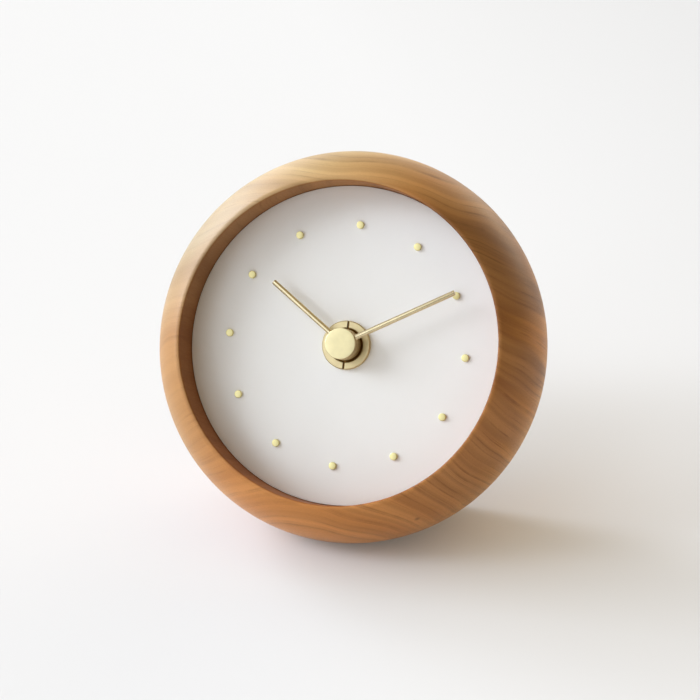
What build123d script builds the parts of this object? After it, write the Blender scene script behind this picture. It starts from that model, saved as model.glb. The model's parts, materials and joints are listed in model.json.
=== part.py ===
from build123d import *
import math
import os

# A table clock: a turned wooden case that leans back on a flat underneath, a white dial with
# brass pins, two brass rod hands and a battery movement behind the dial.
# Lengths are millimetres and angles are degrees. Each piece is drawn in the dial's frame, with
# X to the right, Y up the dial and Z out of it, and Z = 0 on the dial's front face.
# The finished pieces are then leaned back together, with the origin under the middle of the flat.

# Stance
tilt = 28.5
flat_cut = 0.5

# Wooden case
case_radius = 55.0
bulge_radius = 26.0
widest_behind_dial = 7.05
rim_above_dial = 12.92
back_behind_dial = 39.0
back_wall = 8.24
rim_width = 0.91
rim_rounding = 0.4
back_rounding = 1.0

# Dial and its hour pins
dial_thickness = 3.0
dial_clearance = 0.15
marker_count = 12
marker_inset = 11.0
marker_radius = 1.05
marker_height = 0.8
marker_seat = 2.0
marker_rounding = 0.15

# Bush, nut and washer that hold the movement to the dial
bush_radius = 4.0
bush_hole_clearance = 0.1
bush_below_nut = 0.2
bush_flange_radius = 5.5
bush_flange_thickness = 0.6
nut_radius = 6.83
nut_height = 1.3
nut_slot_width = 0.55
nut_slot_depth = 0.8
nut_chamfer = 0.25
washer_radius = 10.0
washer_thickness = 1.0

# Hands
hub_radius = 4.35
hub_rounding = 0.2
hub_gap = 0.2
rod_radius = 0.75
rod_seat = 1.6
hour_hub_rise = 1.1
hour_hub_height = 3.1
hour_rod_above_hub_base = 1.7
hour_reach = 26.7
hour_angle = 305.0
minute_hub_height = 3.14
minute_rod_above_hub_base = 1.4
minute_arbor_in_hub = 1.9
minute_reach = 34.6
minute_angle = 60.0

# Shafts that run one inside the other
running_clearance = 0.05
end_shake = 0.1
seconds_arbor_radius = 0.45
seconds_arbor_rise = 4.0
minute_arbor_radius = 1.7
minute_arbor_tail_radius = 1.2
minute_arbor_tail = 0.8
hour_pipe_wall = 0.7
pivot_radius = 0.3
pivot_length = 0.6
train_arbor_radius = 0.42
collar_width = 0.5

# Gear teeth: the sizes are shares of the module, the widths are shares of the pitch
tooth_rise = 0.8
tooth_root = 1.1
tooth_width = 0.40
tooth_tip_width = 0.18
wheel_root_width = 0.55
pinion_root_width = 0.40
smallest_wheel = 20
gear_width = 0.8

# Tooth counts, modules and bearings of the gears, seen from the front
cannon_teeth = 12
minute_wheel_teeth = 36
minute_pinion_teeth = 10
hour_wheel_teeth = 40
setting_teeth = 18
hand_module = 0.40
centre_teeth = 60
third_pinion_teeth = 8
third_wheel_teeth = 64
seconds_pinion_teeth = 8
seconds_wheel_teeth = 60
fifth_pinion_teeth = 10
fifth_wheel_teeth = 60
rotor_teeth = 12
centre_module = 0.25
seconds_module = 0.24
rotor_module = 0.20
minute_wheel_bearing = 190.0
setting_bearing = 160.0
third_bearing = 120.0
fifth_bearing = 40.0
rotor_bearing = 10.0

# Movement housing, and the gaps between its layers from the front to the back
movement_corner = 6.0
movement_inner_corner = 4.2
movement_wall = 1.2
movement_clearance = 0.6
lid_skirt = 1.5
lid_clearance = 0.05
hour_layer_gap = 0.3
minute_layer_gap = 0.8
train_plate_gap = 0.3
train_plate_thickness = 0.7
centre_layer_gap = 0.4
third_layer_gap = 1.2
seconds_layer_gap = 1.2
fifth_layer_gap = 1.0
rear_layer_gap = 0.9

# Train plate and the posts that carry it
gear_wall_gap = 0.5
train_plate_margin = 4.0
train_plate_bay_gap = 0.3
train_plate_high = 15.0
train_plate_corner = 2.0
train_post_inset = 2.2
post_radius = 1.5
post_stub_radius = 0.8

# Cell, its bay and its contacts
cell_radius = 7.25
cell_length = 50.5
cell_nub_radius = 2.75
cell_nub_height = 1.2
cell_rounding = 0.8
cell_end_room = 1.55
bay_side_gap = 0.8
bay_front_gap = 0.25
bay_wall = 1.0
bay_door_inset = 0.4
contact_thickness = 0.4
contact_gap = 0.1
contact_width = 11.0
contact_depth = 8.0
contact_tail_depth = 1.2
contact_wall_gap = 0.05
contact_notch_gap = 0.2

# Coil, stator and rotor
coil_stator_gap = 0.67
coil_wall_gap = 1.1
coil_bay_gap = 1.7
coil_high = 14.0
core_width = 3.0
core_thickness = 0.8
lug_inset = 1.5
bobbin_gap = 3.5
bobbin_flange = 0.8
bobbin_flange_radius = 3.2
bobbin_tube_radius = 2.1
winding_radius = 2.9
stator_thickness = 0.8
stator_behind_plate = 3.1
stator_arm = 3.4
stator_ring = 1.7
rotor_magnet_radius = 2.9
rotor_magnet_height = 3.0
rotor_air_gap = 0.5

# Circuit board and what is soldered to it
board_depth = 7.4
board_thickness = 0.8
board_before_lid = 1.0
board_post_across = 20.0
chip_size = 5.0
chip_height = 1.2
chip_across = -4.0
crystal_radius = 1.0
crystal_length = 6.0
crystal_across = 8.0

# Setting knob
setting_shaft_radius = 1.4
setting_pivot_radius = 0.5
knob_radius = 6.0
knob_height = 4.0
knob_gap = 0.3
knob_socket = 2.7
knob_flutes = 24
knob_flute_radius = 0.45
knob_rounding = 0.4

# Layers, counted back from the dial's front face
dial_back = -dial_thickness
movement_front = dial_back - washer_thickness
front_inside = movement_front - movement_wall
hour_layer = front_inside - hour_layer_gap - gear_width
minute_layer = hour_layer - minute_layer_gap - gear_width
train_plate_front = minute_layer - train_plate_gap
train_plate_back = train_plate_front - train_plate_thickness
centre_layer = train_plate_back - centre_layer_gap - gear_width
third_layer = centre_layer - third_layer_gap - gear_width
seconds_layer = third_layer - seconds_layer_gap - gear_width
fifth_layer = seconds_layer - fifth_layer_gap - gear_width
rear_inside = fifth_layer - rear_layer_gap
movement_back = rear_inside - movement_wall
hour_hub_base = nut_height + hour_hub_rise
hour_hub_top = hour_hub_base + hour_hub_height
minute_hub_base = hour_hub_top + hub_gap
minute_hub_top = minute_hub_base + minute_hub_height
minute_arbor_top = minute_hub_base + minute_arbor_in_hub
stator_front = train_plate_back - stator_behind_plate
core_front = stator_front - stator_thickness
core_middle = core_front - core_thickness / 2
board_front = rear_inside + board_before_lid + board_thickness

# Radii that follow from the shafts running one inside the other
hour_pipe_bore = minute_arbor_radius + running_clearance
hour_pipe_radius = hour_pipe_bore + hour_pipe_wall
bush_bore = hour_pipe_radius + running_clearance
minute_arbor_bore = seconds_arbor_radius + running_clearance
pivot_hole = pivot_radius + running_clearance


def polar(distance, bearing, start=(0.0, 0.0)):
    """Point at a distance and a bearing from a starting point in the dial's plane."""
    angle = math.radians(bearing)
    return (start[0] + distance * math.cos(angle), start[1] + distance * math.sin(angle))


def mesh_distance(module, first_teeth, second_teeth):
    """Distance between the centres of two gears in mesh."""
    return module * (first_teeth + second_teeth) / 2


def mesh_phase(bearing, first_phase, first_teeth, second_teeth):
    """Angle of a tooth on the second gear, so that its gap takes the first gear's nearest tooth."""
    share = ((bearing - first_phase) * first_teeth / 360) % 1
    return bearing + 180 + (share + 0.5) * 360 / second_teeth


# Gear centres. The minute pinion and hour wheel share the centres of cannon pinion and minute wheel,
# and the third wheel and seconds pinion share the centres of third pinion and centre wheel.
hand_distance = mesh_distance(hand_module, cannon_teeth, minute_wheel_teeth)
hour_module = 2 * hand_distance / (minute_pinion_teeth + hour_wheel_teeth)
centre_distance = mesh_distance(centre_module, centre_teeth, third_pinion_teeth)
third_module = 2 * centre_distance / (third_wheel_teeth + seconds_pinion_teeth)
setting_distance = mesh_distance(hand_module, minute_wheel_teeth, setting_teeth)
fifth_distance = mesh_distance(seconds_module, seconds_wheel_teeth, fifth_pinion_teeth)
rotor_distance = mesh_distance(rotor_module, fifth_wheel_teeth, rotor_teeth)
minute_wheel_at = polar(hand_distance, minute_wheel_bearing)
setting_at = polar(setting_distance, setting_bearing, minute_wheel_at)
third_at = polar(centre_distance, third_bearing)
fifth_at = polar(fifth_distance, fifth_bearing)
rotor_at = polar(rotor_distance, rotor_bearing, fifth_at)


def tip_radius(module, teeth):
    """Radius of a gear at the tips of its teeth."""
    return module * (teeth / 2 + tooth_rise)


# The square housing is as wide as the cell and its contacts, the rotor with the coil beside it, the
# setting gear, or the cell's bay with the minute wheel above it, whichever needs the most.
stator_reach = rotor_magnet_radius + rotor_air_gap + stator_ring
coil_across = rotor_at[0] + stator_reach + coil_stator_gap + bobbin_flange_radius
minute_wheel_low = minute_wheel_at[1] - tip_radius(hand_module, minute_wheel_teeth) - gear_wall_gap
bay_height = 2 * cell_radius + 2 * bay_side_gap
inner_half_width = max(
    cell_length / 2 + cell_end_room,
    coil_across + bobbin_flange_radius + coil_wall_gap,
    tip_radius(hand_module, setting_teeth) + gear_wall_gap - setting_at[0],
    bay_height + bay_wall - minute_wheel_low,
)
half_width = inner_half_width + movement_wall
movement_width = 2 * half_width
corner_reach = math.sqrt(2) * (half_width - movement_corner) + movement_corner
cell_height = -inner_half_width + bay_side_gap + cell_radius
bay_top = bay_height - inner_half_width
cell_middle = front_inside - bay_front_gap - cell_radius

# What stands in the housing above the cell's bay
coil_low = bay_top + bay_wall + coil_bay_gap
train_plate_low = bay_top + bay_wall + train_plate_bay_gap
train_plate_left = setting_at[0] - train_plate_margin
train_plate_right = rotor_at[0] + train_plate_margin
board_high = inner_half_width - movement_inner_corner
board_low = board_high - board_depth

# Radii of the case, which is bored for the housing's corners, and the dial's height over the table
back_bore_radius = corner_reach + movement_clearance
back_radius = back_bore_radius + back_wall
ring_radius = case_radius - bulge_radius
rim_radius = ring_radius + math.sqrt(bulge_radius**2 - (rim_above_dial + widest_behind_dial) ** 2)
recess_radius = rim_radius - rim_width
marker_circle = recess_radius - marker_inset
tilt_sine = math.sin(math.radians(tilt))
tilt_cosine = math.cos(math.radians(tilt))
dial_height = ring_radius * tilt_cosine + widest_behind_dial * tilt_sine + bulge_radius - flat_cut


def disc(radius, low, high, at=(0.0, 0.0)):
    """Upright cylinder between two heights."""
    body = Cylinder(radius, high - low, align=(Align.CENTER, Align.CENTER, Align.MIN))
    return Pos(at[0], at[1], low) * body


def block(left, right, low, high, back, front):
    """Box between two limits along each axis: X, Y, then Z."""
    body = Box(right - left, high - low, front - back)
    return Pos((left + right) / 2, (low + high) / 2, (back + front) / 2) * body


def slab(width, corner, back, front):
    """Square plate with rounded corners between two heights."""
    return Pos(0, 0, back) * extrude(RectangleRounded(width, width, corner), front - back, dir=(0, 0, 1))


def gear(teeth, module, low, phase, at=(0.0, 0.0)):
    """Spur gear with straight flanks and one tooth at the angle phase, from the height low upwards."""
    pitch = 360 / teeth
    pitch_radius = module * teeth / 2
    root_width = wheel_root_width if teeth >= smallest_wheel else pinion_root_width
    flank = (
        (pitch_radius - tooth_root * module, root_width),
        (pitch_radius, tooth_width),
        (pitch_radius + tooth_rise * module, tooth_tip_width),
    )
    points = []
    for tooth in range(teeth):
        middle = phase + tooth * pitch
        points += [polar(radius, middle - width * pitch / 2) for radius, width in flank]
        points += [polar(radius, middle + width * pitch / 2) for radius, width in reversed(flank)]
    outline = make_face(Polyline(*points, close=True))
    return Pos(at[0], at[1], low) * extrude(outline, gear_width, dir=(0, 0, 1))


def train_arbor(back, front, at):
    """Arbor with a thin pivot at each end, which turn in holes of the two plates."""
    shaft = disc(train_arbor_radius, back + end_shake, front - end_shake, at)
    return shaft + disc(pivot_radius, back - pivot_length, front + pivot_length, at)


def stand_shift():
    """How far the dial's centre lies before the middle of the flat underneath."""
    half_chord = math.sqrt(bulge_radius**2 - (bulge_radius - flat_cut) ** 2)
    flat_front = widest_behind_dial * tilt_cosine - ring_radius * tilt_sine - half_chord
    back_low = (back_behind_dial * tilt_sine - dial_height) / tilt_cosine
    flat_back = back_low * tilt_sine + back_behind_dial * tilt_cosine
    return -(flat_front + flat_back) / 2


lean_back = Pos(0, stand_shift(), dial_height) * Rot(90 - tilt, 0, 0)


def back_taper():
    """Slope of the line that leaves the bulge without a break and runs to the back edge, in radians."""
    inwards = ring_radius - back_radius
    backwards = back_behind_dial - widest_behind_dial
    return math.atan2(inwards, backwards) + math.asin(bulge_radius / math.hypot(inwards, backwards))


def make_case_body():
    """Turned wooden case: bulged outside, recessed front with a ledge, bored from the back, flat below."""
    taper = back_taper()
    rim_slope = math.asin((rim_above_dial + widest_behind_dial) / bulge_radius)
    taper_start, bulge_middle, rim_outside = [
        (ring_radius + bulge_radius * math.cos(slope), bulge_radius * math.sin(slope) - widest_behind_dial)
        for slope in (-taper, (rim_slope - taper) / 2, rim_slope)
    ]
    back = -back_behind_dial
    rim_inside = (recess_radius, rim_above_dial)
    back_outside = (back_radius, back)
    profile = Curve() + [
        Polyline(
            rim_inside,
            (recess_radius, dial_back),
            (back_bore_radius, dial_back),
            (back_bore_radius, back),
            back_outside,
            taper_start,
        ),
        ThreePointArc(taper_start, bulge_middle, rim_outside),
        Line(rim_outside, rim_inside),
    ]
    section = make_face(Plane.XZ * profile)
    rim_corners = section.vertices().filter_by(lambda corner: corner.Z > rim_above_dial - rim_rounding)
    section = fillet(rim_corners, rim_rounding)
    back_corners = section.vertices().filter_by(lambda corner: corner.Z < back + back_rounding)
    section = fillet(back_corners, back_rounding)
    turned = lean_back * revolve(section, Axis.Z)
    return split(turned, Plane.XY, keep=Keep.TOP)


def marker_places():
    """Centres of the hour pins on their circle."""
    return [polar(marker_circle, 360 * hour / marker_count) for hour in range(marker_count)]


def make_dial_plate():
    """White disc that rests on the ledge, with a hole for the bush and blind holes for the pins."""
    plate = disc(recess_radius - dial_clearance, dial_back, 0)
    plate -= disc(bush_radius + bush_hole_clearance, dial_back, 0)
    plate -= [disc(marker_radius, -marker_seat, 0, place) for place in marker_places()]
    return plate


def make_hour_markers():
    """Twelve like brass pins pressed into the dial, with softened front edges."""
    pin = disc(marker_radius, -marker_seat, marker_height)
    pin = fillet(pin.edges().sort_by(Axis.Z)[-1:], marker_rounding)
    return Compound(children=[Pos(place[0], place[1], 0) * pin for place in marker_places()])


def make_threaded_bush():
    """Brass barrel through the dial, with a flange let into the housing from inside."""
    bush = disc(bush_radius, front_inside, nut_height - bush_below_nut)
    bush += disc(bush_flange_radius, front_inside, front_inside + bush_flange_thickness)
    return bush - disc(bush_bore, front_inside, nut_height)


def make_fixing_nut():
    """Round nut on the bush, with two key slots across its front face."""
    nut = disc(nut_radius, 0, nut_height)
    nut = chamfer(nut.edges().sort_by(Axis.Z)[-1:], nut_chamfer)
    nut -= disc(bush_radius, 0, nut_height)
    half_slot = nut_slot_width / 2
    nut -= block(-half_slot, half_slot, -nut_radius, nut_radius, nut_height - nut_slot_depth, nut_height)
    return nut


def make_rubber_washer():
    """Soft ring between the dial's back and the housing."""
    ring = disc(washer_radius, movement_front, dial_back)
    return ring - disc(bush_radius + bush_hole_clearance, movement_front, dial_back)


def hand_rod(level, reach, angle):
    """Straight round rod, lying at a level over the dial and pointing to a clock angle from twelve."""
    inner_end = hub_radius - rod_seat
    rod = Cylinder(rod_radius, reach - inner_end, align=(Align.CENTER, Align.CENTER, Align.MIN))
    return Rot(0, 0, -angle) * Pos(0, inner_end, level) * Rot(-90, 0, 0) * rod


hour_rod_level = hour_hub_base + hour_rod_above_hub_base
minute_rod_level = minute_hub_base + minute_rod_above_hub_base


def make_hour_hand_rod():
    """Brass rod of the hour hand."""
    return hand_rod(hour_rod_level, hour_reach, hour_angle)


def make_minute_hand_rod():
    """Brass rod of the minute hand."""
    return hand_rod(minute_rod_level, minute_reach, minute_angle)


def make_hour_hand_hub():
    """Collar pressed on the hour pipe, drilled from the side for its rod."""
    hub = disc(hub_radius, hour_hub_base, hour_hub_top)
    hub -= disc(hour_pipe_radius, hour_hub_base, hour_hub_top)
    return hub - make_hour_hand_rod()


def make_minute_hand_hub():
    """Flat cap pressed on the minute arbor, drilled from the side for its rod."""
    hub = disc(hub_radius, minute_hub_base, minute_hub_top)
    hub = fillet(hub.edges().sort_by(Axis.Z)[-1:], hub_rounding)
    hub -= disc(minute_arbor_radius, minute_hub_base, minute_arbor_top)
    return hub - make_minute_hand_rod()


# Tooth angles at rest, so that every pair stands in mesh
cannon_phase = minute_wheel_bearing
minute_wheel_phase = mesh_phase(minute_wheel_bearing, cannon_phase, cannon_teeth, minute_wheel_teeth)
setting_phase = mesh_phase(setting_bearing, minute_wheel_phase, minute_wheel_teeth, setting_teeth)
hour_wheel_phase = minute_wheel_bearing
minute_pinion_phase = mesh_phase(
    minute_wheel_bearing, hour_wheel_phase, hour_wheel_teeth, minute_pinion_teeth
)
centre_phase = third_bearing
third_pinion_phase = mesh_phase(third_bearing, centre_phase, centre_teeth, third_pinion_teeth)
seconds_pinion_phase = third_bearing
third_wheel_phase = mesh_phase(
    third_bearing, seconds_pinion_phase, seconds_pinion_teeth, third_wheel_teeth
)
seconds_wheel_phase = fifth_bearing
fifth_pinion_phase = mesh_phase(
    fifth_bearing, seconds_wheel_phase, seconds_wheel_teeth, fifth_pinion_teeth
)
fifth_wheel_phase = rotor_bearing
rotor_phase = mesh_phase(rotor_bearing, fifth_wheel_phase, fifth_wheel_teeth, rotor_teeth)


def make_hour_wheel():
    """Hour wheel and the pipe that carries the hour hand, turning in the bush."""
    wheel = gear(hour_wheel_teeth, hour_module, hour_layer, hour_wheel_phase)
    wheel += disc(hour_pipe_radius, hour_layer, hour_hub_top)
    return wheel - disc(hour_pipe_bore, hour_layer, hour_hub_top)


def make_minute_arbor():
    """Cannon pinion on the hollow arbor that carries the minute hand."""
    shoulder = train_plate_front + end_shake
    tail_end = centre_layer - minute_arbor_tail
    arbor = disc(minute_arbor_radius, shoulder, minute_arbor_top)
    arbor += disc(minute_arbor_tail_radius, tail_end, shoulder)
    arbor += gear(cannon_teeth, hand_module, minute_layer, cannon_phase)
    cannon_front = minute_layer + gear_width
    arbor += disc(minute_arbor_radius + collar_width, cannon_front, hour_layer - end_shake)
    return arbor - disc(minute_arbor_bore, tail_end, seconds_arbor_rise + end_shake)


def make_minute_wheel():
    """Wheel and pinion that gear the hour wheel down from the cannon pinion."""
    wheel = gear(minute_wheel_teeth, hand_module, minute_layer, minute_wheel_phase, minute_wheel_at)
    wheel += gear(minute_pinion_teeth, hour_module, hour_layer, minute_pinion_phase, minute_wheel_at)
    return wheel + train_arbor(train_plate_front, front_inside, minute_wheel_at)


def make_centre_wheel():
    """Wheel that the train turns once an hour, loose on the minute arbor's tail."""
    wheel = gear(centre_teeth, centre_module, centre_layer, centre_phase)
    wheel += disc(minute_arbor_radius + collar_width, centre_layer, train_plate_back - end_shake)
    return wheel - disc(minute_arbor_tail_radius + running_clearance, centre_layer, train_plate_back)


def make_clutch_washer():
    """Ring pressed on the arbor's tail that rubs on the centre wheel, so the hands can be set."""
    front = centre_layer - end_shake
    back = centre_layer - minute_arbor_tail + end_shake
    ring = disc(minute_arbor_radius + collar_width, back, front)
    return ring - disc(minute_arbor_tail_radius, back, front)


def make_third_wheel():
    """Wheel and pinion between the seconds pinion and the centre wheel."""
    wheel = gear(third_wheel_teeth, third_module, third_layer, third_wheel_phase, third_at)
    wheel += gear(third_pinion_teeth, centre_module, centre_layer, third_pinion_phase, third_at)
    return wheel + train_arbor(rear_inside, train_plate_back, third_at)


def make_seconds_wheel():
    """Wheel that turns once a minute, on a long arbor inside the minute arbor."""
    wheel = gear(seconds_wheel_teeth, seconds_module, seconds_layer, seconds_wheel_phase)
    wheel += gear(seconds_pinion_teeth, third_module, third_layer, seconds_pinion_phase)
    wheel += disc(seconds_arbor_radius, rear_inside + end_shake, seconds_arbor_rise)
    return wheel + disc(pivot_radius, rear_inside - pivot_length, rear_inside + end_shake)


def make_fifth_wheel():
    """Wheel and pinion between the rotor and the seconds wheel."""
    wheel = gear(fifth_wheel_teeth, rotor_module, fifth_layer, fifth_wheel_phase, fifth_at)
    wheel += gear(fifth_pinion_teeth, seconds_module, seconds_layer, fifth_pinion_phase, fifth_at)
    return wheel + train_arbor(rear_inside, train_plate_back, fifth_at)


def make_rotor_pinion():
    """Pinion and arbor of the stepping rotor."""
    pinion = gear(rotor_teeth, rotor_module, fifth_layer, rotor_phase, rotor_at)
    return pinion + train_arbor(rear_inside, train_plate_back, rotor_at)


def make_rotor_magnet():
    """Round magnet moulded on the rotor's arbor, level with the stator."""
    middle = stator_front - stator_thickness / 2
    low = middle - rotor_magnet_height / 2
    high = middle + rotor_magnet_height / 2
    magnet = disc(rotor_magnet_radius, low, high, rotor_at)
    return magnet - disc(train_arbor_radius, low, high, rotor_at)


def coil_lugs():
    """Centres of the two posts that carry the core and the stator."""
    return [(coil_across, coil_low + lug_inset), (coil_across, coil_high - lug_inset)]


def make_stator():
    """Soft-iron yoke with a round hole about the rotor and an arm to each end of the core."""
    hole = stator_reach - stator_ring
    back = stator_front - stator_thickness
    across, height = rotor_at
    half_arm = stator_arm / 2
    right = coil_across + core_width / 2
    yoke = disc(stator_reach, back, stator_front, rotor_at)
    yoke += block(across - half_arm, across + half_arm, coil_low, coil_high, back, stator_front)
    yoke += block(across - half_arm, right, coil_low, coil_low + 2 * lug_inset, back, stator_front)
    yoke += block(across - half_arm, right, coil_high - 2 * lug_inset, coil_high, back, stator_front)
    yoke -= disc(hole, back, stator_front, rotor_at)
    yoke -= [disc(post_stub_radius, back, stator_front, lug) for lug in coil_lugs()]
    return yoke


def make_coil_core():
    """Flat soft-iron bar through the bobbin, on the back of the stator's arms."""
    half_core = core_width / 2
    back = core_front - core_thickness
    core = block(coil_across - half_core, coil_across + half_core, coil_low, coil_high, back, core_front)
    return core - [disc(post_stub_radius, back, core_front, lug) for lug in coil_lugs()]


def coil_drum(radius, low, high):
    """Cylinder about the core's length, between two heights up the dial."""
    drum = Cylinder(radius, high - low, align=(Align.CENTER, Align.CENTER, Align.MIN))
    return Pos(coil_across, low, core_middle) * Rot(-90, 0, 0) * drum


bobbin_low = coil_low + bobbin_gap
bobbin_high = coil_high - bobbin_gap


def make_coil_bobbin():
    """Moulded spool with two flanges, slotted for the core."""
    spool = coil_drum(bobbin_tube_radius, bobbin_low, bobbin_high)
    spool += coil_drum(bobbin_flange_radius, bobbin_low, bobbin_low + bobbin_flange)
    spool += coil_drum(bobbin_flange_radius, bobbin_high - bobbin_flange, bobbin_high)
    half_core = core_width / 2
    left = coil_across - half_core
    right = coil_across + half_core
    return spool - block(left, right, bobbin_low, bobbin_high, core_front - core_thickness, core_front)


def make_coil_winding():
    """Fine copper wire wound between the flanges, as one solid."""
    low = bobbin_low + bobbin_flange
    high = bobbin_high - bobbin_flange
    return coil_drum(winding_radius, low, high) - coil_drum(bobbin_tube_radius, low, high)


def train_post_places():
    """Centres of the four posts under the corners of the train plate."""
    left = train_plate_left + train_post_inset
    right = train_plate_right - train_post_inset
    low = train_plate_low + train_post_inset
    high = train_plate_high - train_post_inset
    return [(left, low), (left, high), (right, low), (right, high)]


def make_train_plate():
    """Middle plate that carries the inner pivots, on four posts."""
    width = train_plate_right - train_plate_left
    height = train_plate_high - train_plate_low
    middle = ((train_plate_left + train_plate_right) / 2, (train_plate_low + train_plate_high) / 2)
    outline = RectangleRounded(width, height, train_plate_corner)
    plate = extrude(outline, train_plate_thickness, dir=(0, 0, 1))
    plate = Pos(middle[0], middle[1], train_plate_back) * plate
    holes = [(minute_arbor_tail_radius, (0.0, 0.0)), (setting_shaft_radius, setting_at)]
    holes += [(pivot_radius, place) for place in (minute_wheel_at, third_at, fifth_at, rotor_at)]
    for radius, place in holes:
        plate -= disc(radius + running_clearance, train_plate_back, train_plate_front, place)
    plate -= [disc(post_stub_radius, train_plate_back, train_plate_front, p) for p in train_post_places()]
    return plate


def contact_notch(side):
    """Slot at one end of the bay wall, where a contact's tail passes."""
    outer = side * inner_half_width
    inner = side * (inner_half_width - contact_wall_gap - contact_thickness - contact_notch_gap)
    back = rear_inside
    front = board_front + contact_notch_gap
    return block(min(inner, outer), max(inner, outer), bay_top, bay_top + bay_wall, back, front)


def make_movement_front_case():
    """Moulded tray: front plate, side walls, wall over the cell's bay, and posts for what it holds."""
    tray = slab(movement_width, movement_corner, rear_inside + lid_skirt, movement_front)
    half_wall = movement_wall / 2
    tray += slab(movement_width - movement_wall, movement_corner - half_wall, rear_inside, movement_front)
    tray -= slab(2 * inner_half_width, movement_inner_corner, rear_inside, front_inside)
    wall = block(-inner_half_width, inner_half_width, bay_top, bay_top + bay_wall, rear_inside, front_inside)
    tray += wall - contact_notch(-1) - contact_notch(1)
    for place in train_post_places():
        tray += disc(post_radius, train_plate_front, front_inside, place)
        tray += disc(post_stub_radius, train_plate_back, front_inside, place)
    for place in coil_lugs():
        tray += disc(post_radius, stator_front, front_inside, place)
        tray += disc(post_stub_radius, core_front - core_thickness, front_inside, place)
    for side in (-1, 1):
        place = (side * board_post_across, (board_low + board_high) / 2)
        tray += disc(post_radius, board_front, front_inside, place)
    tray -= disc(bush_radius, front_inside, movement_front)
    tray -= disc(bush_flange_radius, front_inside, front_inside + bush_flange_thickness)
    seat = front_inside + pivot_length + end_shake
    tray -= disc(pivot_hole, front_inside, seat, minute_wheel_at)
    tray -= disc(setting_pivot_radius + running_clearance, front_inside, seat, setting_at)
    return tray


def make_movement_rear_case():
    """Moulded lid: a skirt about the tray's wall, the cell's opening, the knob's hole and pivot holes."""
    lid = slab(movement_width, movement_corner, movement_back, rear_inside + lid_skirt)
    inside = movement_width - movement_wall + 2 * lid_clearance
    lid -= slab(inside, inside / 2 - half_width + movement_corner, rear_inside, rear_inside + lid_skirt)
    door = inner_half_width - bay_door_inset
    lid -= block(-door, door, -door, bay_top - bay_door_inset, movement_back, rear_inside)
    lid -= disc(setting_shaft_radius + running_clearance, movement_back, rear_inside, setting_at)
    seat = rear_inside - pivot_length - end_shake
    for place in ((0.0, 0.0), third_at, fifth_at, rotor_at):
        lid -= disc(pivot_hole, seat, rear_inside, place)
    return lid


def make_battery_cell():
    """One AA cell lying across the bay, its nub to the right."""
    can_length = cell_length - cell_nub_height
    can = Cylinder(cell_radius, can_length, align=(Align.CENTER, Align.CENTER, Align.MIN))
    can = fillet(can.edges().filter_by(GeomType.CIRCLE), cell_rounding)
    nub = Cylinder(cell_nub_radius, cell_nub_height, align=(Align.CENTER, Align.CENTER, Align.MIN))
    cell = can + Pos(0, 0, can_length) * nub
    return Pos(-cell_length / 2, cell_height, cell_middle) * Rot(0, 90, 0) * cell


def make_contact(side):
    """Leaf that presses on one end of the cell, with a tail up the wall to the circuit board."""
    leaf_inside = cell_length / 2 + contact_gap
    leaf_outside = leaf_inside + contact_thickness
    tail_outside = inner_half_width - contact_wall_gap
    tail_inside = tail_outside - contact_thickness
    leaf_top = cell_height + contact_width / 2
    tail_back = board_front - contact_tail_depth
    leaf_back = cell_middle - contact_depth / 2
    leaf_front = cell_middle + contact_depth / 2
    tail_top = (board_low + board_high) / 2
    leaf_low = cell_height - contact_width / 2
    bend_low = leaf_top - contact_thickness
    strip = block(leaf_inside, leaf_outside, leaf_low, leaf_top, leaf_back, leaf_front)
    strip += block(leaf_inside, tail_outside, bend_low, leaf_top, tail_back, board_front)
    strip += block(tail_inside, tail_outside, bend_low, tail_top, tail_back, board_front)
    return strip if side > 0 else mirror(strip, Plane.YZ)


def make_circuit_board():
    """Narrow board along the top of the housing, between the two contact tails."""
    half_board = inner_half_width - contact_wall_gap - contact_thickness
    return block(-half_board, half_board, board_low, board_high, board_front - board_thickness, board_front)


def make_ic_chip():
    """Square chip on the board's front."""
    middle = (board_low + board_high) / 2
    half_chip = chip_size / 2
    left = chip_across - half_chip
    right = chip_across + half_chip
    return block(left, right, middle - half_chip, middle + half_chip, board_front, board_front + chip_height)


def make_quartz_crystal():
    """Small round can lying on the board's front."""
    can = Rot(0, 90, 0) * Cylinder(crystal_radius, crystal_length)
    return Pos(crystal_across, (board_low + board_high) / 2, board_front + crystal_radius) * can


def make_setting_shaft():
    """Shaft from the minute wheel out through the lid, with its gear at the front end."""
    knob_front = movement_back - knob_gap
    shaft = gear(setting_teeth, hand_module, minute_layer, setting_phase, setting_at)
    shaft += disc(setting_shaft_radius, knob_front - knob_socket, front_inside - end_shake, setting_at)
    return shaft + disc(setting_pivot_radius, minute_layer, front_inside + pivot_length, setting_at)


def make_setting_knob():
    """Fluted knob pressed on the end of the setting shaft."""
    front = movement_back - knob_gap
    knob = disc(knob_radius, front - knob_height, front)
    knob = fillet(knob.edges().sort_by(Axis.Z)[:1], knob_rounding)
    flutes = [polar(knob_radius, 360 * flute / knob_flutes) for flute in range(knob_flutes)]
    knob -= [disc(knob_flute_radius, front - knob_height, front, place) for place in flutes]
    knob -= disc(setting_shaft_radius, front - knob_socket, front)
    return Pos(setting_at[0], setting_at[1], 0) * knob


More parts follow.
